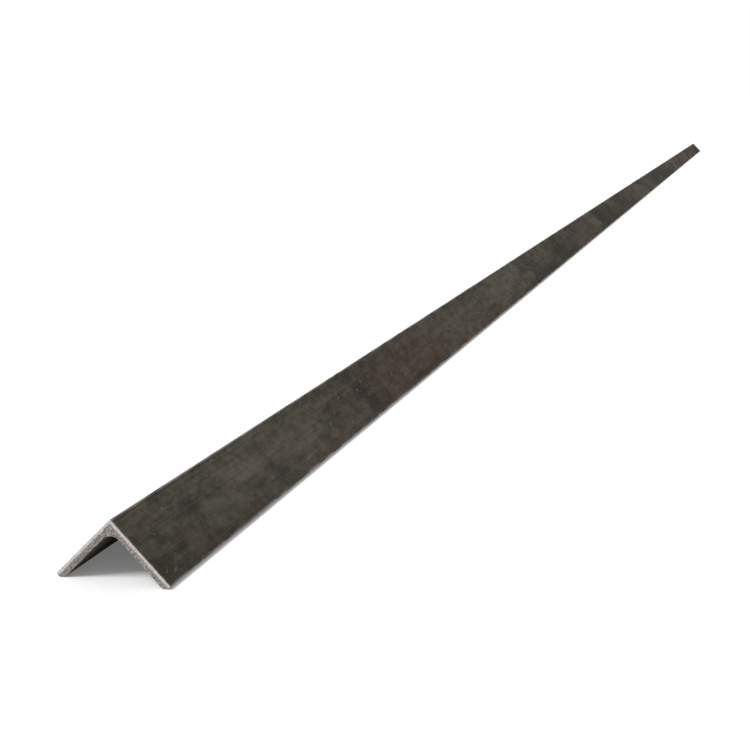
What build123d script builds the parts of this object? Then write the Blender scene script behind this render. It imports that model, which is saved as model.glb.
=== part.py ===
"""Equal-leg steel angle, 50 x 50 x 5 mm, one 6 m stock length, rolled and then sheared.

The bar lies on its two toes with its heel up, like a roof. Millimetres, +Z up. +Y runs
along the bar from its near end to its far end. The origin is on the floor, midway
between the toes and midway along the bar.
"""

import os
from math import sqrt

from build123d import *

# The rolled section. Leg width and thickness are measured from the flat outer faces.
leg_width = 50.0
leg_thickness = 5.0
root_radius = 7.0  # the inner corner, between the legs
heel_radius = 0.8  # the outer corner, as sharp as the roll leaves it
toe_radius = 3.5  # the inner edge of each toe
toe_corner_radius = 0.5  # the outer edge of each toe

# One stock length, from end to end.
stock_length = 6000.0

# A shear cuts a smooth band across part of the wall, and then the rest tears off.
band_depth = 1.7  # how far into the wall the blade cut before it tore
tear_setback = 0.45  # how far the tear falls back by the other side of the wall
rollover_radius = 0.3  # the edge that the blade drew in as it entered

# The bar stands on the lowest line of each toe's rounded inner edge.
heel_height = (leg_width + leg_thickness - 2 * toe_radius) / sqrt(2) + toe_radius

# A section plane has its origin on the sharp heel. Its X runs down the right leg and its
# Y down the left leg, so the two legs have the same coordinates, the other way round.
near_end = Plane(
    origin=(0, -stock_length / 2, heel_height),
    x_dir=(1, 0, -1),
    z_dir=(0, 1, 0),
)
far_end = near_end.offset(stock_length)

# A tear is a slope, and what tore off is cut away by it. These squares lie just past the
# places where the slope leaves the steel: beyond the root, the heel and both toes.
tear_slope = tear_setback / (leg_thickness - band_depth)
beyond_root = leg_thickness + root_radius
beyond_heel = -leg_thickness
beyond_toes = leg_width + leg_thickness


def draw_legs_inside(inset: float) -> None:
    """Add the square of a section plane that lies deeper than inset from both outer faces."""
    side = beyond_toes - inset
    with Locations((inset, inset)):
        Rectangle(side, side, align=(Align.MIN, Align.MIN))


# Near end: the blade came in through the outer faces, so the smooth band runs along
# them, and the tear falls back from the band to the inner faces and the root.
near_tear_fall = tear_slope * (beyond_root - band_depth)
with BuildPart() as near_scrap:
    with BuildSketch(near_end):
        draw_legs_inside(band_depth)
    with BuildSketch(near_end.offset(near_tear_fall)):
        draw_legs_inside(beyond_root)
    loft(ruled=True)

# Far end: the other blade of the pair came in through the inner faces. Here the band
# runs along those, and the tear falls back to the outer faces and the heel.
band_inset = leg_thickness - band_depth
far_tear_fall = tear_slope * (band_inset - beyond_heel)
far_tear_foot = far_end.offset(-far_tear_fall)
with BuildPart() as far_scrap:
    with BuildSketch(far_tear_foot):
        draw_legs_inside(beyond_heel)
    extrude(amount=far_tear_fall)
    with BuildSketch(far_tear_foot):
        draw_legs_inside(beyond_heel)
    with BuildSketch(far_end):
        draw_legs_inside(band_inset)
    loft(ruled=True, mode=Mode.SUBTRACT)

with BuildPart() as angle_bar:
    # Both legs, the root and the toes are one rolled profile.
    with BuildSketch(near_end):
        with BuildLine():
            FilletPolyline(
                (0, 0),
                (leg_width, 0),
                (leg_width, leg_thickness),
                (leg_thickness, leg_thickness),
                (leg_thickness, leg_width),
                (0, leg_width),
                radius=(
                    heel_radius,
                    toe_corner_radius,
                    toe_radius,
                    root_radius,
                    toe_radius,
                    toe_corner_radius,
                ),
                close=True,
            )
        make_face()
    extrude(amount=stock_length)
    # The blade draws the edges of an end face in. A tear takes the rounding away with the
    # edges that it reaches, and leaves it along the smooth band and round the toes.
    fillet(angle_bar.faces().filter_by(Axis.Y).edges(), rollover_radius)
    add(near_scrap.part, mode=Mode.SUBTRACT)
    add(far_scrap.part, mode=Mode.SUBTRACT)

angle_bar.part.label = "angle_bar"
os.makedirs("parts", exist_ok=True)
export_step(angle_bar.part, "parts/angle_bar.step")

print(f"section area {angle_bar.part.volume / stock_length:.1f} mm2")
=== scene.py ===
# %% [markdown]
# # One length of steel angle
# This lesson gives a rolled steel angle its looks: the grey-brown scale that hot rolling
# leaves, the bright ends that the shear leaves, and the small unevenness of both. The
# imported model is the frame. It says how big the bar is and where it lies, and nothing
# here moves or resizes it. Its faces are too few to carry a torn end, so a finer mesh of
# the same bar is modelled here and takes its place.

# %% Load the frame
import math

import bpy
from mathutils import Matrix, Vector


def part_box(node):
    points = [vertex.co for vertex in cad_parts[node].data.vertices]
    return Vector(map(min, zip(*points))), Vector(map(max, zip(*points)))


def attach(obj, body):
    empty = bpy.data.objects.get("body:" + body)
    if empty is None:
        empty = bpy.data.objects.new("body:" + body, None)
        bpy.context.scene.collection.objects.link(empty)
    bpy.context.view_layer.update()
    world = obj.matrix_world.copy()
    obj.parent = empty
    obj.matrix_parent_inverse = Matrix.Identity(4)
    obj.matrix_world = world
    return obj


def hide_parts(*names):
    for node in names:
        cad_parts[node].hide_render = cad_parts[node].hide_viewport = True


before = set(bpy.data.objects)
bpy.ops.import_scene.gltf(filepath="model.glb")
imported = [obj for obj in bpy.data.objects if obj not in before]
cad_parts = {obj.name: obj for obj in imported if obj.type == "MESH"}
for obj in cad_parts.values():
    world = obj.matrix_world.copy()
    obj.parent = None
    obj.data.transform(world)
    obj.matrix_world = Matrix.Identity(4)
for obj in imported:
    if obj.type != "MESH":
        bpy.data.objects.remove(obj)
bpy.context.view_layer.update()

print("nodes", sorted(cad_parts))

# %% [markdown]
# ## The sizes of the section
# An angle is named by its leg width and its wall. The rolls round the root between the
# legs and the inner edge of each toe, and leave the heel and the outer edges sharp. The
# radii could be measured off the frame's mesh, but its rounds are faceted and would give
# them only roughly. So the frame gives the length and the box, and the section's own
# sizes are written here once, in metres. The heel's height follows from them, because the
# bar stands on its two toes, and it is printed beside the frame's as a check.

# %% Section sizes
node_name = "angle_bar"
low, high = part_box(node_name)
bar_length = high.y - low.y
leg_width = 0.050
leg_thickness = 0.005
root_radius = 0.007
heel_radius = 0.0008
toe_radius = 0.0035
toe_corner_radius = 0.0005
heel_height = (leg_width + leg_thickness - 2 * toe_radius) / math.sqrt(2) + toe_radius
worn_heel_height = heel_height - heel_radius * (math.sqrt(2) - 1)
print(f"length {bar_length:.3f} m, heel {worn_heel_height:.5f} m, the frame's {high.z:.5f} m")

# %% [markdown]
# ## A way to pick faces and edges
# By hand, an edge or a face is clicked before an operator acts on it. A script could pick
# it by its number, but the numbers change with every cut. So it is picked by a test of
# its place or its direction. The helper leaves the mesh in edit mode with only the picked
# items selected, so that the next operator acts on nothing else.

# %% Select by a test
touching = 1e-6  # metres between two places that count as one
aligned = 0.99  # least part of a face's normal along the axis that it faces


def select_only(piece, kind, test):
    """In edit mode, select just the vertices, edges or faces that pass the test."""
    bpy.ops.object.mode_set(mode="EDIT")
    bpy.ops.mesh.select_mode(type=kind)
    bpy.ops.mesh.select_all(action="DESELECT")
    bpy.ops.object.mode_set(mode="OBJECT")
    mesh = piece.data
    items = {"VERT": mesh.vertices, "EDGE": mesh.edges, "FACE": mesh.polygons}[kind]
    for item in items:
        item.select = test(item)
    found = sum(item.select for item in items)
    bpy.ops.object.mode_set(mode="EDIT")
    return found


def ends_of(piece, edge):
    """The places of an edge's two ends."""
    return [piece.data.vertices[index].co for index in edge.vertices]


# %% [markdown]
# ## The plain L
# A bar of angle is two flat legs at a right angle, rolled as one piece. It could be two
# blocks joined by a Boolean, but that leaves loose points and long thin faces at the
# joint. Here one block is the right leg. A cut marks off its heel, and the underside of
# the heel is drawn down to make the left leg, so the mesh is whole from the start. The
# cut's own edges aren't on the real bar, so flat faces are joined again. The heel lies at
# the origin, the right leg along +X and the left leg down -Z, because then each flat face
# looks along an axis and is easy to pick. The bar is turned into place at the end.

# %% Draw the two legs
bpy.ops.object.select_all(action="DESELECT")
bpy.ops.mesh.primitive_cube_add(
    size=1,
    location=(leg_width / 2, 0, -leg_thickness / 2),
    scale=(leg_width, bar_length, leg_thickness),
)
bar = bpy.context.object
bar.name = "rolled_angle"
bpy.ops.object.transform_apply(location=True, rotation=True, scale=True)

bpy.ops.object.mode_set(mode="EDIT")
bpy.ops.mesh.select_all(action="SELECT")
bpy.ops.mesh.bisect(plane_co=(leg_thickness, 0, 0), plane_no=(1, 0, 0))
select_only(
    bar, "FACE", lambda face: face.normal.z < -aligned and face.center.x < leg_thickness
)
down_the_left_leg = (0, 0, leg_thickness - leg_width)
bpy.ops.mesh.extrude_region_move(TRANSFORM_OT_translate={"value": down_the_left_leg})
bpy.ops.mesh.select_all(action="SELECT")
still_flat = math.radians(1)
bpy.ops.mesh.dissolve_limited(angle_limit=still_flat)
bpy.ops.object.mode_set(mode="OBJECT")
print("plain L:", len(bar.data.polygons), "faces")

# %% [markdown]
# ## The rolled corners
# Six long edges of the L are rounded by the rolls. A Bevel modifier could round them all
# at once, but with one width for all, and here are four radii. So the bevel operator goes
# round the section, one edge at a time. On the root, which is an inner corner, it adds
# steel instead of taking it away. The larger a radius is, the more steps it gets.

# %% Round the long edges
root_steps, heel_steps, toe_steps, toe_corner_steps = 10, 2, 7, 2
long_edges = [
    (leg_thickness, -leg_thickness, root_radius, root_steps),
    (0, 0, heel_radius, heel_steps),
    (leg_width, -leg_thickness, toe_radius, toe_steps),
    (leg_thickness, -leg_width, toe_radius, toe_steps),
    (leg_width, 0, toe_corner_radius, toe_corner_steps),
    (0, -leg_width, toe_corner_radius, toe_corner_steps),
]


def runs_along(x, z):
    """A test for the long edge of the L at this place in the section."""
    return lambda edge: all(
        abs(end.x - x) < touching and abs(end.z - z) < touching
        for end in ends_of(bar, edge)
    )


for x, z, radius, steps in long_edges:
    select_only(bar, "EDGE", runs_along(x, z))
    bpy.ops.mesh.bevel(offset=radius, offset_type="OFFSET", segments=steps, affect="EDGES")
    bpy.ops.object.mode_set(mode="OBJECT")
print("six edges rounded,", len(bar.data.polygons), "faces")

# %% [markdown]
# ## Strips across the legs
# Scale and rolling leave soft, shallow unevenness, and the shear tears the ends, so the
# mesh needs small faces. A remesh would give them, but it would blur the sharp heel and
# lose the straight lines that run along a rolled bar. So each flat is cut into strips
# that run along it. The end faces are taken off first and come back later. Then the outer
# side of the L is joined to its inner side across the end, so both get the same number of
# steps.

# %% Open the ends and cut the flats into strips
fading_steps = 1  # steps of each toe's round in which the drawn-in end edge dies away
inner_strips = 26
outer_strips = (
    inner_strips
    + toe_steps - fading_steps - toe_corner_steps
    + (root_steps - heel_steps) // 2
)
flats = {
    "outer flats": (leg_width - heel_radius - toe_corner_radius, outer_strips),
    "inner flats": (leg_width - leg_thickness - root_radius - toe_radius, inner_strips),
}


def crosses_flat(width):
    """A test for an edge of this length that lies across the bar."""
    def test(edge):
        one, other = ends_of(bar, edge)
        across = abs(one.y - other.y) < touching
        return across and abs((one - other).length - width) < touching
    return test


select_only(bar, "FACE", lambda face: abs(face.normal.y) > aligned)
bpy.ops.mesh.delete(type="FACE")
for flat_name, (width, strips) in flats.items():
    select_only(bar, "EDGE", crosses_flat(width))
    bpy.ops.mesh.subdivide(number_cuts=strips - 1)
    print(flat_name, "in", strips, "strips of", round(1000 * width / strips, 2), "mm")
bpy.ops.object.mode_set(mode="OBJECT")

# %% [markdown]
# ## A map of the rolled skin
# The skin of a rolled bar could be peeled off flat, as paper could. Somebody may want to
# paint or bake this bar, and on one island of 6 m the pixels would be long and few. An
# automatic unwrap would break the skin into scraps. So it is slit along the heel and
# round the bar at each whole metre, and it unrolls into equal sheets that lie side by
# side and fill the map. The map that came with the first block is laid anew for this. It
# is done now, because the mesh is still light and every later cut keeps the map.

# %% Slit the skin and unroll it
sheet_length = 1.0
sheet_gap = 0.001  # of the map's width
sheets = round(bar_length / sheet_length)
for sheet in range(1, sheets):
    bpy.ops.object.mode_set(mode="EDIT")
    bpy.ops.mesh.select_all(action="SELECT")
    bpy.ops.mesh.bisect(
        plane_co=(0, sheet * sheet_length - bar_length / 2, 0), plane_no=(0, 1, 0)
    )


def is_slit(edge):
    """Whether the skin is slit along this edge."""
    one, other = ends_of(bar, edge)
    on_heel = all(
        abs(end.x + end.z) < touching and end.x < heel_radius for end in (one, other)
    )
    across = abs(one.y - other.y) < touching
    return on_heel or (across and abs(one.y) < bar_length / 2 - touching)


print("slit edges", select_only(bar, "EDGE", is_slit))
bpy.ops.mesh.mark_seam()
bpy.ops.object.mode_set(mode="OBJECT")
bar.data.uv_layers.active.name = "OFBake"  # a bake looks for a map of this name
bpy.ops.object.mode_set(mode="EDIT")
bpy.ops.mesh.select_all(action="SELECT")
bpy.ops.uv.unwrap(method="ANGLE_BASED", margin=sheet_gap)
bpy.ops.object.mode_set(mode="OBJECT")
skin_top = max(corner.vector.y for corner in bar.data.uv_layers.active.uv)
print(sheets, "sheets fill the map up to", round(skin_top, 3))

# %% [markdown]
# ## Rings along the length
# The cut shows on the ends of a bar, while its middle is plain. Rings at one even spacing
# would be too coarse for the ends or too many for the middle. So the bar is cut across at
# a few stations, and the edges between two stations are divided evenly, finely near the
# ends and coarsely in the middle.

# %% Cut the bar into rings
stations = (0.0, 0.04, 0.2, 0.6, 1.0, 2.0, 3.0)  # distances from either end
rings_between = (32, 50, 64, 34, 48, 48)
spans = []
for near, far, rings in zip(stations, stations[1:], rings_between):
    spans.append((near - bar_length / 2, far - bar_length / 2, rings))
    spans.append((bar_length / 2 - far, bar_length / 2 - near, rings))
spans.sort()
for start, _, _ in spans[1:]:
    bpy.ops.object.mode_set(mode="EDIT")
    bpy.ops.mesh.select_all(action="SELECT")
    bpy.ops.mesh.bisect(plane_co=(0, start, 0), plane_no=(0, 1, 0))


def runs_between(start, stop):
    """A test for a lengthwise edge between two stations."""
    def test(edge):
        one, other = ends_of(bar, edge)
        return abs(one.y - other.y) > touching and start < (one.y + other.y) / 2 < stop
    return test


for start, stop, rings in spans:
    select_only(bar, "EDGE", runs_between(start, stop))
    bpy.ops.mesh.subdivide(number_cuts=rings - 1)
bpy.ops.object.mode_set(mode="OBJECT")
print(sum(rings for _, _, rings in spans), "rings,", len(bar.data.polygons), "faces")

# %% [markdown]
# ## The drawn-in edges
# A shear blade first draws the surface in, then cuts a smooth band, and then the rest of
# the wall tears off. So only the edge on the blade's side is rounded. At the near end the
# blade came in through the outer faces, and at the far end through the inner faces. The
# points could be moved by hand, but a bevel of the rim gives the same round everywhere.
# Each end is closed with one flat face first, because a bevel needs a face on either side
# of an edge. Where a run of edges stops, part-way round a toe, the bevel leaves two
# corners in one place, and these are merged.

# %% Close the ends and bevel the blade's side
band_depth = 0.0017
rollover_radius = 0.0003
rollover_steps = 3
near_y, far_y = -bar_length / 2, bar_length / 2


def depth_at(place):
    """How deep a place lies under the nearer outer face."""
    return min(place.x, -place.z)


def rims_end(y, shallowest=-leg_width, deepest=leg_width):
    """A test for edges round an end, between two depths in the wall."""
    def test(edge):
        return all(
            abs(end.y - y) < touching
            and shallowest - touching < depth_at(end) < deepest + touching
            for end in ends_of(bar, edge)
        )
    return test


for y in (near_y, far_y):
    select_only(bar, "EDGE", rims_end(y))
    bpy.ops.mesh.edge_face_add()
blade_sides = {
    "near": rims_end(near_y, deepest=leg_thickness - toe_radius),
    "far": rims_end(far_y, shallowest=leg_thickness - band_depth),
}
for end_name, blade_side in blade_sides.items():
    print(end_name, "end, drawn-in edges", select_only(bar, "EDGE", blade_side))
    bpy.ops.mesh.bevel(
        offset=rollover_radius, offset_type="OFFSET", segments=rollover_steps, affect="EDGES"
    )
bpy.ops.mesh.select_all(action="SELECT")
bpy.ops.mesh.remove_doubles(threshold=touching)
bpy.ops.object.mode_set(mode="OBJECT")

# %% [markdown]
# ## The end faces as grids
# The sheared end of a bar changes from row to row through the wall: smooth, then torn. It
# can't be shaped on one big face, and filling it with triangles would give no rows. So
# each end face is taken off again, and a bridge joins the outer side of the L to its
# inner side. The bridge is cut into rows, and every row lies at its own depth in the
# wall. One edge at the tip of each toe belongs to neither side and closes the bridge's
# ends.

# %% Bridge the ends
wall_rows = 10
tip_middle = (toe_corner_radius + leg_thickness - toe_radius) / 2  # its depth in the wall
leg_section = leg_width * leg_thickness  # an end face covers nearly two of these


def rims_wall(y):
    """A test for the edges round an open end, less the one at the tip of each toe."""
    on_rim = rims_end(y)

    def test(edge):
        shallow, deep = sorted(depth_at(end) for end in ends_of(bar, edge))
        return on_rim(edge) and not shallow < tip_middle < deep
    return test


select_only(
    bar, "FACE", lambda face: abs(face.normal.y) > aligned and face.area > leg_section
)
bpy.ops.mesh.delete(type="ONLY_FACE")
for y in (near_y, far_y):
    print("edges to bridge", select_only(bar, "EDGE", rims_wall(y)))
    bpy.ops.mesh.bridge_edge_loops(number_cuts=wall_rows - 1, interpolation="LINEAR")
select_only(bar, "FACE", lambda face: abs(face.normal.y) > aligned)
bpy.ops.mesh.subdivide(number_cuts=1)
bpy.ops.mesh.select_all(action="SELECT")
bpy.ops.mesh.normals_make_consistent(inside=False)
bpy.ops.object.mode_set(mode="OBJECT")
print("faces in all", len(bar.data.polygons))

# %% [markdown]
# ## Two surfaces on one bar
# The rolled skin and the sheared ends are the same steel with different surfaces. Each
# end could be an object of its own, but then the edge between the two could gape. So the
# one mesh carries two materials. The ends get the faces that look along the bar and the
# outer two of the three steps by which the edge is drawn in.

# %% Give the sheared faces their own material
mill_scale = bpy.data.materials.new("mill_scale")
sheared_steel = bpy.data.materials.new("sheared_steel")
for material in (mill_scale, sheared_steel):
    material.use_nodes = True
    bar.data.materials.append(material)

looks_along = 0.5  # least part of a sheared face's normal that points along the bar
sheared_faces = select_only(bar, "FACE", lambda face: abs(face.normal.y) > looks_along)
bar.active_material_index = 1
bpy.ops.object.material_slot_assign()
bpy.ops.object.mode_set(mode="OBJECT")
print("sheared faces", sheared_faces)

# %% [markdown]
# ## The ends on the map
# The bridge made new faces, and they aren't on the map yet. A projection from the end
# would do for the flat part, but it would squeeze the drawn-in edge, which is seen from
# the side, to nothing. So each point's place in the section is its place on the map, and
# the drawn-in edge is folded out flat beside it. The ends lie in the band that the skin
# leaves free, larger than the skin, because they hold the finest detail.

# %% Lay the end faces on the map
map_gap = 0.006
end_scale = (1 - skin_top - 2 * map_gap) / leg_width
map_corners = {-1: map_gap, 1: 3 * map_gap + end_scale * leg_width}
skin_map = bar.data.uv_layers.active.uv
for face in bar.data.polygons:
    if abs(face.normal.y) < touching:
        continue
    side = -1 if face.center.y < 0 else 1
    for corner, index in zip(face.loop_indices, face.vertices):
        point = bar.data.vertices[index]
        fold_out = bar_length / 2 - abs(point.co.y)
        skin_map[corner].vector = (
            map_corners[side] + end_scale * (point.co.x + fold_out * point.normal.x),
            1 - map_gap + end_scale * (point.co.z + fold_out * point.normal.z),
        )
print("the ends lie on the map at", round(end_scale, 2), "widths a metre")

# %% [markdown]
# ## The tear
# The near end keeps a flat band along the outer faces and falls back from there to the
# inner faces. The far end does the reverse. It could be sculpted, but a weight on each
# point, which says how much of the fall it takes, can be worked out from its depth in the
# wall. A Displace modifier moves the points along the bar by their weight. A second one,
# with a fine noise, roughens the torn part. A third makes the edge where the steel let
# go ragged, partly burr and partly chipped. All stay behind the plane of the cut.

# %% Weigh points and push them
def weigh_end(name, side, weight_of):
    """Weigh the points of one end face by how far past the smooth band each one lies."""
    group = bar.vertex_groups.new(name=name)
    for point in bar.data.vertices:
        if abs(point.co.y - side * bar_length / 2) < touching:
            depth = depth_at(point.co)
            under_blade = depth if side < 0 else leg_thickness - depth
            weight = weight_of(under_blade - band_depth)
            if weight > 0:
                group.add([point.index], min(weight, 1.0), "REPLACE")
    return group.name


def clouds(name, grain, octaves=2):
    """A noise texture whose grains are this long, in metres."""
    texture = bpy.data.textures.new(name, "CLOUDS")
    texture.noise_scale = grain
    texture.noise_depth = octaves
    return texture


def push(group, strength, direction, texture=None, mid_level=0.0):
    """Move the bar's points along a direction, by weight and texture, and keep the result."""
    bpy.context.view_layer.objects.active = bar
    modifier = bar.modifiers.new(group, "DISPLACE")
    modifier.vertex_group = group
    modifier.strength = strength
    modifier.direction = direction
    modifier.mid_level = mid_level
    if texture:
        modifier.texture = texture
        modifier.texture_coords = "LOCAL"
    bpy.ops.object.modifier_apply(modifier=group)


# %% Tear the ends
tear_setback = 0.00045
torn_depth = leg_thickness - band_depth
soon_rough = 0.0004  # past the band, where the tear is at its roughest
roughening, raggedness = 0.0002, 0.0005
burr_above = 0.6  # where the noise is over this the edge is burr, and elsewhere chipped
torn_grain, rags = clouds("torn_grain", 0.0009), clouds("rags", 0.0024, octaves=4)
for end_name, side in (("near", -1), ("far", 1)):
    fall = weigh_end(end_name + "_fall", side, lambda past: past / torn_depth)
    rough = weigh_end(end_name + "_rough", side, lambda past: past / soon_rough)
    edge = weigh_end(end_name + "_edge", side, lambda past: past > torn_depth - touching)
    push(fall, -side * tear_setback, "Y")
    push(rough, -side * roughening, "Y", torn_grain)
    push(edge, raggedness, "NORMAL", rags, mid_level=burr_above)
reach = max(abs(point.co.y) for point in bar.data.vertices)
print("the torn ends still reach", round(reach, 5), "m from the middle")

# %% [markdown]
# ## The rolled skin
# Rolls don't leave a true plane. The skin swells and sinks by less than a tenth of a
# millimetre, in waves that are long along the bar, and the scale on it is lumpy in a
# finer way. A bump in the material would do for the shading, but the bar's outline and
# its mesh would stay dead straight, so the points are moved. The noise itself is as long
# as it is wide. So the bar is squeezed lengthwise before each push and stretched back
# after it, and the waves are stretched with it. The noise goes both ways, so the wall
# keeps its thickness. It dies out at the heel, the toes and the ends, because those are
# where the bar touches its frame.

# %% Weigh the skin
def ramp(distance, start, full):
    """A weight that rises from 0 at one distance to 1 at another."""
    return min(max((distance - start) / (full - start), 0), 1)


skin_name = "skin"
edge_fade, end_fade = (0.0015, 0.006), (0.0006, 0.004)  # where each ramp starts and is full
skin = bar.vertex_groups.new(name=skin_name)
for point in bar.data.vertices:
    down_leg = max(point.co.x, -point.co.z)
    from_edge = min(down_leg, leg_width - down_leg)
    from_end = bar_length / 2 - abs(point.co.y)
    weight = min(ramp(from_edge, *edge_fade), ramp(from_end, *end_fade))
    if weight > 0:
        skin.add([point.index], weight, "REPLACE")

# %% Swell and sink the skin in waves and lumps
def stretch_bar(factor):
    """Stretch the bar's mesh lengthwise. Powers of two give back the exact length."""
    bar.scale = (1, factor, 1)
    bpy.ops.object.transform_apply(location=True, rotation=True, scale=True)


bpy.ops.object.select_all(action="DESELECT")
bar.select_set(True)
bpy.context.view_layer.objects.active = bar
both_ways = 0.5  # the noise's middle moves nothing
for name, grain, stretch, swell in (
    ("roll_waves", 0.03, 8, 0.00016),
    ("scale_lumps", 0.007, 2, 0.00005),
):
    stretch_bar(1 / stretch)
    push(skin_name, swell, "NORMAL", clouds(name, grain), mid_level=both_ways)
    stretch_bar(stretch)
bar.vertex_groups.clear()

# %% Turn the bar into place
leg_slope, crease = math.radians(45), math.radians(35)
bar.rotation_euler = (0, leg_slope, 0)
bar.location = (0, 0, heel_height)
bpy.ops.object.transform_apply(location=True, rotation=True, scale=True)
bpy.ops.object.shade_smooth_by_angle(angle=crease)
triangles = sum(len(face.vertices) - 2 for face in bar.data.polygons)
print("bar is", [round(size, 5) for size in bar.dimensions], "with", triangles, "triangles")

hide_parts(node_name)
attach(bar, "root")

# %% [markdown]
# ## Ways to write a node tree
# Dirt, scale and torn steel are layers over each other, and in Blender each layer is a
# few linked nodes. They are usually laid out by hand in the Shader Editor. In a script
# the links soon hide what they do. So each helper here adds one kind of step, a sum, a
# soft threshold or a blend, and returns its output, and a finish then reads like its
# recipe. A step's inputs may be plain values or the outputs of other steps.

# %% Node helpers
def wire(tree, source, socket):
    """Link another step's output to a socket, or write a plain value on it."""
    if isinstance(source, bpy.types.NodeSocket):
        tree.links.new(source, socket)
    else:
        socket.default_value = source


def maths(tree, operation, *sources):
    """One operation of arithmetic on one to three values."""
    node = tree.nodes.new("ShaderNodeMath")
    node.operation = operation
    for source, socket in zip(sources, node.inputs):
        wire(tree, source, socket)
    return node.outputs[0]


def fade(tree, value, start, stop):
    """A mask that goes softly from 0 at start to 1 at stop."""
    node = tree.nodes.new("ShaderNodeMapRange")
    node.interpolation_type = "SMOOTHSTEP"
    wire(tree, value, node.inputs["Value"])
    wire(tree, start, node.inputs["From Min"])
    wire(tree, stop, node.inputs["From Max"])
    return node.outputs["Result"]


def remap(tree, value, low_value, high_value):
    """A value that is low where the mask is 0 and high where it is 1."""
    node = tree.nodes.new("ShaderNodeMapRange")
    wire(tree, value, node.inputs["Value"])
    wire(tree, low_value, node.inputs["To Min"])
    wire(tree, high_value, node.inputs["To Max"])
    return node.outputs["Result"]


def blend(tree, mask, one, other):
    """One colour where the mask is 0 and the other where it is 1."""
    node = tree.nodes.new("ShaderNodeMix")
    node.data_type = "RGBA"
    wire(tree, mask, node.inputs["Factor"])
    wire(tree, one, node.inputs["A"])
    wire(tree, other, node.inputs["B"])
    return next(socket for socket in node.outputs if socket.type == "RGBA")


def colour(red, green, blue):
    """An opaque colour."""
    return (red, green, blue, 1)


# %% [markdown]
# ## Where a point lies on the bar
# Wear, rust and the tear all depend on where a point lies in the section: at the heel, at
# a toe, near a cut, deep in the wall. Masks could be painted on the map, but the bar lies
# unturned at the origin, so its place can be worked out from Object coordinates, and that
# stays sharp at any distance. Across the bar, how far a point has fallen below the heel
# and how far it stands out to the side give its depth in the wall and its distance down
# the leg. A place in the leg puts these two together with the place along the bar,
# slanted a little so that the two legs don't mirror each other. Both materials need this,
# so it is a node group.

# %% Node group for the place on the bar
def new_group(name, inputs, outputs):
    """An empty node group: its tree, and the sockets that bring in and give out."""
    tree = bpy.data.node_groups.new(name, "ShaderNodeTree")
    for in_out, sockets in (("INPUT", inputs), ("OUTPUT", outputs)):
        for socket_name, kind in sockets.items():
            tree.interface.new_socket(
                socket_name, in_out=in_out, socket_type="NodeSocket" + kind
            )
    taken = tree.nodes.new("NodeGroupInput").outputs
    given = tree.nodes.new("NodeGroupOutput").inputs
    return tree, taken, given


def use_group(tree, group, **sources):
    """A copy of a group in another tree, with its inputs wired. Returns its outputs."""
    node = tree.nodes.new("ShaderNodeGroup")
    node.node_tree = group
    for socket_name, source in sources.items():
        wire(tree, source, node.inputs[socket_name])
    return node.outputs


def split(tree, vector):
    """The X, Y and Z of a vector."""
    node = tree.nodes.new("ShaderNodeSeparateXYZ")
    wire(tree, vector, node.inputs[0])
    return node.outputs


bar_place, taken, given = new_group(
    "bar_place",
    {"Place": "Vector"},
    {"In leg": "Vector", "Depth": "Float", "Down leg": "Float", "From end": "Float"},
)
xyz = split(bar_place, taken["Place"])
aside = maths(bar_place, "ABSOLUTE", xyz["X"])
fallen = maths(bar_place, "SUBTRACT", heel_height, xyz["Z"])
slant = math.cos(leg_slope)
depth = maths(bar_place, "MULTIPLY", maths(bar_place, "SUBTRACT", fallen, aside), slant)
down_leg = maths(bar_place, "MULTIPLY", maths(bar_place, "ADD", fallen, aside), slant)
from_middle = maths(bar_place, "ABSOLUTE", xyz["Y"])
in_leg = bar_place.nodes.new("ShaderNodeCombineXYZ")
wire(bar_place, down_leg, in_leg.inputs["X"])
wire(bar_place, maths(bar_place, "ADD", xyz["Y"], xyz["X"]), in_leg.inputs["Y"])
wire(bar_place, depth, in_leg.inputs["Z"])
wire(bar_place, in_leg.outputs[0], given["In leg"])
wire(bar_place, depth, given["Depth"])
wire(bar_place, down_leg, given["Down leg"])
from_end = maths(bar_place, "SUBTRACT", bar_length / 2, from_middle)
wire(bar_place, from_end, given["From end"])
print(bar_place.name, "gives", [socket.name for socket in given if socket.name])

# %% [markdown]
# ## Patches, grain and streaks
# Weather, handling and rolling mark steel in three ways. A patch is soft and irregular
# and covers a chosen share of it. Grain is an even, fine unevenness. A streak is drawn out
# one way. Each could have its own texture node, but all three are a noise that is more or
# less stretched, and cut off or not. So one group stretches its noise by a vector, and
# gives it out both plain and as patches.

# %% Node group for stretched noise and its patches
stretched_noise, taken, given = new_group(
    "stretched_noise",
    {
        "Place": "Vector", "Grain": "Vector",
        "Detail": "Float", "Share": "Float", "Edge": "Float",
    },
    {"Value": "Float", "Patch": "Float"},
)
in_grains = stretched_noise.nodes.new("ShaderNodeVectorMath")
in_grains.operation = "DIVIDE"
wire(stretched_noise, taken["Place"], in_grains.inputs[0])
wire(stretched_noise, taken["Grain"], in_grains.inputs[1])
texture = stretched_noise.nodes.new("ShaderNodeTexNoise")
roughness_of_noise = 0.55
texture.inputs["Scale"].default_value = 1
texture.inputs["Roughness"].default_value = roughness_of_noise
wire(stretched_noise, in_grains.outputs[0], texture.inputs["Vector"])
wire(stretched_noise, taken["Detail"], texture.inputs["Detail"])
value = texture.outputs[0]
# Noise crowds round a half, so a share of the surface is a threshold not far from there.
nowhere, everywhere = 0.72, 0.28
threshold = remap(stretched_noise, taken["Share"], nowhere, everywhere)
starts = maths(stretched_noise, "SUBTRACT", threshold, taken["Edge"])
stops = maths(stretched_noise, "ADD", threshold, taken["Edge"])
wire(stretched_noise, value, given["Value"])
wire(stretched_noise, fade(stretched_noise, value, starts, stops), given["Patch"])


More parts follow.
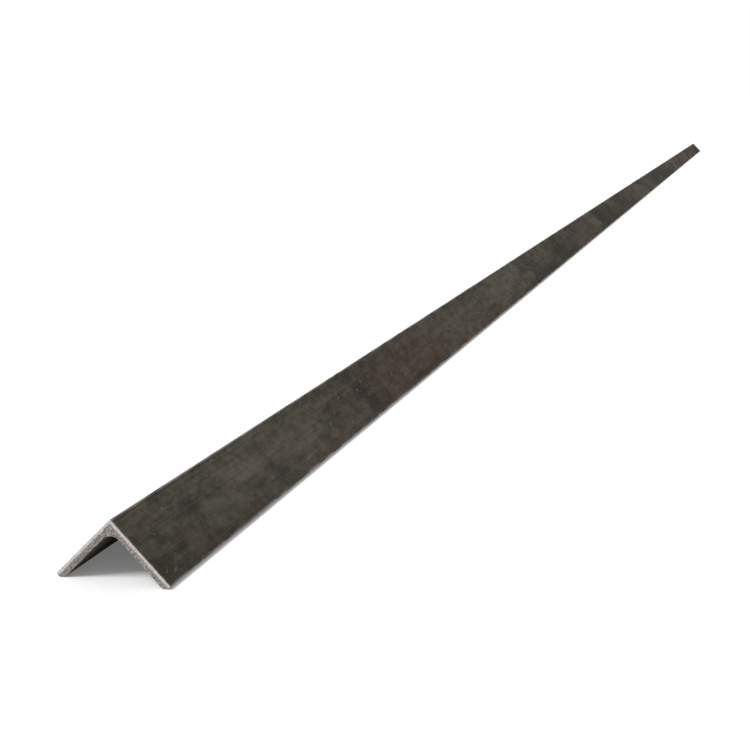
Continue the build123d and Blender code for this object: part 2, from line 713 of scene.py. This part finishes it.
def noise(tree, at, grain, detail=2.0, share=0.5, edge=0.1, shift=0.0):
    """Stretched noise at a place. The shift takes it from another part of the noise."""
    moved = tree.nodes.new("ShaderNodeVectorMath")
    moved.operation = "ADD"
    wire(tree, at, moved.inputs[0])
    moved.inputs[1].default_value = (shift, shift, shift)
    look = {"Grain": grain, "Detail": detail, "Share": share, "Edge": edge}
    return use_group(tree, stretched_noise, Place=moved.outputs[0], **look)


print(stretched_noise.name, "has", len(stretched_noise.nodes), "nodes")

# %% [markdown]
# ## Rust
# Rust on new steel starts in patches, and in a patch it is a crowd of fine spots. One
# noise alone would be either a stain or pepper, so a broad noise and a fine one are mixed
# before the threshold. The group gives the rust's mask and its colour, from a dark
# red-brown to a warmer brown. How much there is comes in from outside, because it differs
# between the skin and the sheared ends.

# %% Node group for rust
rust, taken, given = new_group(
    "rust", {"Place": "Vector", "Amount": "Float"}, {"Mask": "Float", "Color": "Color"}
)
bloom = noise(rust, taken["Place"], (0.018, 0.05, 0.018), detail=4.0, shift=3.1)["Value"]
spots = noise(rust, taken["Place"], (0.0016, 0.0028, 0.0016), detail=3.0, shift=7.7)["Value"]
spottiness, clean_steel, all_rust, rust_edge = 0.4, 0.75, 0.35, 0.14
crowd = remap(rust, spottiness, bloom, spots)
rust_threshold = remap(rust, taken["Amount"], clean_steel, all_rust)
full_rust = maths(rust, "ADD", rust_threshold, rust_edge)
wire(rust, fade(rust, crowd, rust_threshold, full_rust), given["Mask"])
dark_rust, light_rust = colour(0.050, 0.022, 0.015), colour(0.120, 0.052, 0.029)
rust_colour = blend(rust, fade(rust, spots, start=0.4, stop=0.65), dark_rust, light_rust)
wire(rust, rust_colour, given["Color"])
print(rust.name, "has", len(rust.nodes), "nodes")

# %% [markdown]
# ## Mill scale
# Hot steel grows a thin dark skin of scale as it cools. Its colour drifts between olive,
# grey-brown and a colder grey over a hand's breadth. Water and dust mottle it, the rolls
# leave faint streaks along it, and it flakes off, in small spots and beside the cuts.
# Other bars rub it along the heel and the toes, and scratch it along and across. The
# light line along the toes is partly that rubbing and partly a painted highlight. A
# scanned picture would repeat along 6 m, so the scale is made from noise, in the order in
# which the real layers came about: first the colours, and last the wear.

# %% Broad colours of the scale
def start_material(material):
    """A material's tree and shader, the place of a point, and its place on the bar."""
    tree = material.node_tree
    at = tree.nodes.new("ShaderNodeTexCoord").outputs["Object"]
    return tree, tree.nodes["Principled BSDF"], at, use_group(tree, bar_place, Place=at)


def scale_by(tree, mask, most):
    """A mask, made weaker."""
    return maths(tree, "MULTIPLY", mask, most)


tree, shader, at, here = start_material(mill_scale)
olive, light_olive = colour(0.058, 0.053, 0.041), colour(0.138, 0.125, 0.097)
grey_brown, cold_grey = colour(0.106, 0.082, 0.068), colour(0.035, 0.036, 0.032)
broad, palm = (0.10, 0.45, 0.10), (0.04, 0.16, 0.04)
light_patch = noise(tree, at, broad, detail=4.0, share=0.50, edge=0.08, shift=1.3)["Patch"]
brown_patch = noise(tree, at, broad, detail=4.0, share=0.45, edge=0.08, shift=5.9)["Patch"]
cold_patch = noise(tree, at, palm, detail=5.0, share=0.36, edge=0.08, shift=9.2)["Patch"]
skin_colour = blend(tree, light_patch, olive, light_olive)
skin_colour = blend(tree, brown_patch, skin_colour, grey_brown)
skin_colour = blend(tree, scale_by(tree, cold_patch, most=0.6), skin_colour, cold_grey)

# %% Mottling and streaks
black, dusty = colour(0, 0, 0), colour(0.170, 0.153, 0.117)
blotch = noise(tree, at, (0.009, 0.020, 0.009), detail=6.0, share=0.48, edge=0.08, shift=4.4)
film = noise(tree, at, (0.013, 0.034, 0.013), detail=6.0, share=0.36, edge=0.10, shift=2.9)
streak = noise(tree, at, (0.0020, 0.5, 0.0020), detail=4.0, share=0.45, edge=0.10, shift=2.2)
soft, dot = (0.0045, 0.006, 0.0045), (0.0010, 0.0012, 0.0010)
mottle = noise(tree, at, soft, detail=6.0, share=0.46, edge=0.16, shift=3.7)
speck = noise(tree, at, dot, detail=3.0, share=0.28, edge=0.05, shift=6.1)
for pattern, most, over in (
    (blotch, 0.24, black),
    (film, 0.22, dusty),
    (streak, 0.16, black),
    (mottle, 0.20, black),
    (speck, 0.26, black),
):
    skin_colour = blend(tree, scale_by(tree, pattern["Patch"], most), skin_colour, over)

# %% Flaked spots
bare_dull = colour(0.145, 0.129, 0.110)
flakes = (0.0045, 0.010, 0.0045)
flake = noise(tree, at, flakes, detail=4.0, share=0.13, edge=0.012, shift=8.5)
chips = noise(tree, at, (0.0025, 0.0025, 0.0025), detail=4.0, shift=6.6)
chipped_by = 0.010  # how far the noise moves the border of the scale beside a cut
from_cut = maths(tree, "ADD", here["From end"], scale_by(tree, chips["Value"], chipped_by))
beside_cut = fade(tree, from_cut, start=0.0062, stop=0.0052)
flaked = maths(tree, "MAXIMUM", flake["Patch"], beside_cut)
skin_colour = blend(tree, scale_by(tree, flaked, most=0.65), skin_colour, bare_dull)

# %% Scratches along and across
lines_along = noise(tree, at, (0.0005, 0.14, 0.0005), share=0.12, edge=0.03, shift=0.9)
slid_along = noise(tree, at, (0.03, 0.06, 0.03), share=0.35, edge=0.08, shift=5.2)
in_leg = here["In leg"]
lines_across = noise(tree, in_leg, (0.03, 0.0006, 0.01), share=0.09, edge=0.03, shift=1.7)
dragged_across = noise(tree, at, (0.02, 0.03, 0.02), share=0.22, edge=0.06, shift=7.1)
scratched = maths(
    tree, "MAXIMUM",
    maths(tree, "MULTIPLY", lines_along["Patch"], slid_along["Patch"]),
    maths(tree, "MULTIPLY", lines_across["Patch"], dragged_across["Patch"]),
)
skin_colour = blend(tree, scale_by(tree, scratched, most=0.5), skin_colour, bare_dull)

# %% Rust on the skin
to_toe = maths(tree, "SUBTRACT", leg_width, here["Down leg"])
low_down = scale_by(tree, fade(tree, to_toe, start=0.022, stop=0.0), most=0.20)
near_cut = scale_by(tree, fade(tree, here["From end"], start=0.10, stop=0.0), most=0.10)
rust_everywhere = 0.33
rust_amount = maths(tree, "ADD", rust_everywhere, maths(tree, "ADD", low_down, near_cut))
rusted = use_group(tree, rust, Place=at, Amount=rust_amount)
rust_cover = scale_by(tree, rusted["Mask"], most=0.85)
skin_colour = blend(tree, rust_cover, skin_colour, rusted["Color"])

# %% Rubbed edges, with a painted highlight along the toes
rubbed_steel_and_highlight = colour(0.30, 0.28, 0.26)
heel_rub = fade(tree, here["Down leg"], start=0.0018, stop=0.0006)
# Along the toes the rub is partly real wear and partly a painted highlight of light caught by
# the edge.
toe_rub_and_highlight = maths(
    tree, "MULTIPLY",
    fade(tree, to_toe, start=0.0014, stop=0.0004),
    fade(tree, here["Depth"], start=0.0022, stop=0.0012),
)
end_rub = fade(tree, here["From end"], start=0.0012, stop=0.0003)
edge_rub_and_toe_highlight = maths(tree, "MAXIMUM", maths(tree, "MAXIMUM", heel_rub, toe_rub_and_highlight), end_rub)
breaks = (0.002, 0.02, 0.002)
rub_breaks = noise(tree, at, breaks, detail=4.0, share=0.55, edge=0.12, shift=0.6)
rubbed_and_toe_highlight = maths(tree, "MULTIPLY", edge_rub_and_toe_highlight, rub_breaks["Patch"])
# The rubbed steel colour goes over the scale; along the toes it is partly a painted
# highlight.
skin_colour = blend(tree, scale_by(tree, rubbed_and_toe_highlight, most=0.7), skin_colour, rubbed_steel_and_highlight)
wire(tree, skin_colour, shader.inputs["Base Color"])

# %% Shine of the scale
def add_up(tree, *terms):
    """The sum of a start value and of masks, each times its weight."""
    total, *rest = terms
    for mask, weight in rest:
        total = maths(tree, "MULTIPLY_ADD", mask, weight, total)
    return total


roughness = add_up(
    tree,
    remap(tree, mottle["Value"], low_value=0.60, high_value=0.88),
    (film["Patch"], 0.08), (rusted["Mask"], 0.20), (scratched, -0.15), (rubbed_and_toe_highlight, -0.20),
)
wire(tree, maths(tree, "MINIMUM", roughness, 1.0), shader.inputs["Roughness"])
wire(tree, scale_by(tree, rubbed_and_toe_highlight, most=0.6), shader.inputs["Metallic"])
faint_sheen = 0.015
shader.inputs["Specular IOR Level"].default_value = faint_sheen

# %% Relief of the scale
def raise_relief(tree, shader, height, strength, distance):
    """Bend the shading as if the surface rose by the height times the distance."""
    bump = tree.nodes.new("ShaderNodeBump")
    bump.inputs["Strength"].default_value = strength
    bump.inputs["Distance"].default_value = distance
    wire(tree, height, bump.inputs["Height"])
    wire(tree, bump.outputs[0], shader.inputs["Normal"])


relief = add_up(
    tree,
    scale_by(tree, mottle["Value"], most=0.6),
    (speck["Patch"], -0.25), (streak["Value"], -0.25), (flaked, -0.35), (scratched, -0.20),
)
raise_relief(tree, shader, relief, strength=0.5, distance=0.0004)
print(mill_scale.name, "has", len(tree.nodes), "nodes")

# %% [markdown]
# ## Sheared steel
# The band that the blade cut is bright and finely scored in the direction of the cut.
# Where the steel tore it is dull, crystalline and full of small hollows that are drawn
# out the same way. Its lighter grains are painted glints off the crystals, and the
# hollows carry painted shade. Two materials could meet on an edge of the mesh, but the
# real border between band and tear wanders, so one material fades from one to the other
# along a noisy line. A thin brown haze has begun on both. At the far end the depth is
# counted from the inner faces, where that end's blade came in.

# %% Band and tear
tree, shader, at, here = start_material(sheared_steel)
at_far_end = maths(tree, "GREATER_THAN", split(tree, at)["Y"], 0.0)
from_inside = maths(tree, "SUBTRACT", leg_thickness, here["Depth"])
under_blade = remap(tree, at_far_end, here["Depth"], from_inside)
in_leg = here["In leg"]
wander = noise(tree, in_leg, (0.004, 0.004, 0.02), detail=4.0, shift=1.9)["Value"]
strays, softness = 0.0010, 0.0002  # of the border between the band and the tear
border = maths(tree, "ADD", under_blade, remap(tree, wander, -strays, strays))
torn = fade(tree, border, band_depth - softness, band_depth + softness)

# %% Colour of the sheared ends
score = noise(tree, in_leg, (0.0005, 0.002, 0.006), detail=3.0, edge=0.15, shift=2.7)
crystal_grain_and_glint = noise(tree, in_leg, (0.0006, 0.002, 0.0011), detail=4.0, edge=0.15, shift=3.3)
pits = (0.0009, 0.003, 0.0015)
hollow_and_shade = noise(tree, in_leg, pits, detail=4.0, share=0.36, edge=0.05, shift=5.0)
band_dull, band_bright = colour(0.40, 0.365, 0.34), colour(0.64, 0.58, 0.545)
# The tear's lighter colour is a painted glint, as if its crystals caught the light.
torn_dull, torn_painted_glint = colour(0.155, 0.135, 0.122), colour(0.40, 0.355, 0.33)
# The hollows' dark colour is painted shade in the pits.
hollow_painted_shadow = colour(0.045, 0.038, 0.034)
band_colour = blend(tree, score["Patch"], band_dull, band_bright)
# The crystal grains take the painted glint.
torn_colour = blend(tree, crystal_grain_and_glint["Patch"], torn_dull, torn_painted_glint)
# The hollows are darkened with painted shade.
hollow_painted_shadow_mask = scale_by(tree, hollow_and_shade["Patch"], most=0.75)
torn_colour = blend(tree, hollow_painted_shadow_mask, torn_colour, hollow_painted_shadow)
end_colour = blend(tree, torn, band_colour, torn_colour)
hazed = use_group(tree, rust, Place=at, Amount=0.34)
haze = scale_by(tree, hazed["Mask"], most=0.6)
end_colour = blend(tree, haze, end_colour, hazed["Color"])
wire(tree, end_colour, shader.inputs["Base Color"])

# %% Shine and relief of the sheared ends
band_roughness = remap(tree, score["Value"], low_value=0.24, high_value=0.44)
torn_roughness = 0.58
end_roughness = add_up(
    tree, remap(tree, torn, band_roughness, torn_roughness), (hazed["Mask"], 0.2)
)
wire(tree, end_roughness, shader.inputs["Roughness"])
clean = maths(tree, "SUBTRACT", 1.0, hazed["Mask"])
band_metal, torn_metal = 0.7, 0.3
bare_metal = maths(tree, "MULTIPLY", remap(tree, torn, band_metal, torn_metal), clean)
wire(tree, bare_metal, shader.inputs["Metallic"])

torn_relief = maths(tree, "SUBTRACT", crystal_grain_and_glint["Value"], hollow_and_shade["Patch"])
relief = add_up(tree, maths(tree, "MULTIPLY", torn, torn_relief), (score["Value"], 0.3))
raise_relief(tree, shader, relief, strength=0.6, distance=0.0003)
print(sheared_steel.name, "has", len(tree.nodes), "nodes")

# %% [markdown]
# ## Floor and surroundings
# The bar lies on a plain pale floor. A stronger lamp could turn the floor white, but it
# would bleach the steel as well. So a little light of the floor's own, which only the
# camera and mirrored views see, takes the lit floor to white, and the shadow stays. The
# surroundings are white in the same way, so floor and backdrop meet without a line. What
# really lights the bar is dimmer than that white, and one soft sun gives it its shadow.

# %% Floor
def sees_backdrop(tree):
    """1 for camera rays and for mirrored and see-through views, and 0 for light."""
    path = tree.nodes.new("ShaderNodeLightPath").outputs
    mirrored = maths(tree, "MAXIMUM", path["Is Glossy Ray"], path["Is Transmission Ray"])
    return maths(tree, "MAXIMUM", path["Is Camera Ray"], mirrored)


bpy.ops.object.select_all(action="DESELECT")
floor_width = 400
bpy.ops.mesh.primitive_plane_add(size=floor_width, location=(0, 0, 0))
floor = bpy.context.object
floor.name = "studio_floor"
pale_floor = bpy.data.materials.new("pale_floor")
pale_floor.use_nodes = True
floor.data.materials.append(pale_floor)
tree = pale_floor.node_tree
shader = tree.nodes["Principled BSDF"]
pale, matt = colour(0.86, 0.86, 0.86), 0.95
shader.inputs["Base Color"].default_value = pale
shader.inputs["Roughness"].default_value = matt
shader.inputs["Specular IOR Level"].default_value = 0.0
shader.inputs["Emission Color"].default_value = colour(1, 1, 1)
floor_glow = 0.14
glow = scale_by(tree, sees_backdrop(tree), floor_glow)
wire(tree, glow, shader.inputs["Emission Strength"])

# %% World and sun
studio = bpy.data.worlds.new("studio")
bpy.context.scene.world = studio
studio.use_nodes = True
tree = studio.node_tree
room_light, white = 0.48, 1.0
strength = remap(tree, sees_backdrop(tree), room_light, white)
tree.nodes["Background"].inputs["Color"].default_value = colour(1, 1, 1)
wire(tree, strength, tree.nodes["Background"].inputs["Strength"])

key_data = bpy.data.lights.new("key", "SUN")
key_data.energy = 2.45
key_data.angle = math.radians(24)
key = bpy.data.objects.new("key", key_data)
bpy.context.scene.collection.objects.link(key)
key_direction = Vector((0.55, 0.65, -1.0))
key.rotation_mode = "QUATERNION"
key.rotation_quaternion = key_direction.to_track_quat("-Z", "Y")

# %% [markdown]
# ## Camera
# The camera looks down the bar from just in front of its near end, a little above and to
# the right, so that the sheared end, the right leg and the full length all show. From
# farther off the section would be too small to see, and from the side 6 m of bar would be
# a thin line. Its places are counted from the near end of the heel.

# %% Camera
near_heel = Vector((0, low.y, high.z))
camera_data = bpy.data.cameras.new("camera")
camera_data.angle = math.radians(33)
camera_data.clip_start = 0.01
camera = bpy.data.objects.new("camera", camera_data)
bpy.context.scene.collection.objects.link(camera)
bpy.context.scene.camera = camera
camera.location = near_heel + Vector((0.332, -0.594, 0.228))
aim = near_heel + Vector((0.047, 0.351, 0.011))
camera.rotation_mode = "QUATERNION"
camera.rotation_quaternion = (aim - camera.location).to_track_quat("-Z", "Y")
bpy.context.scene.view_settings.view_transform = "Standard"
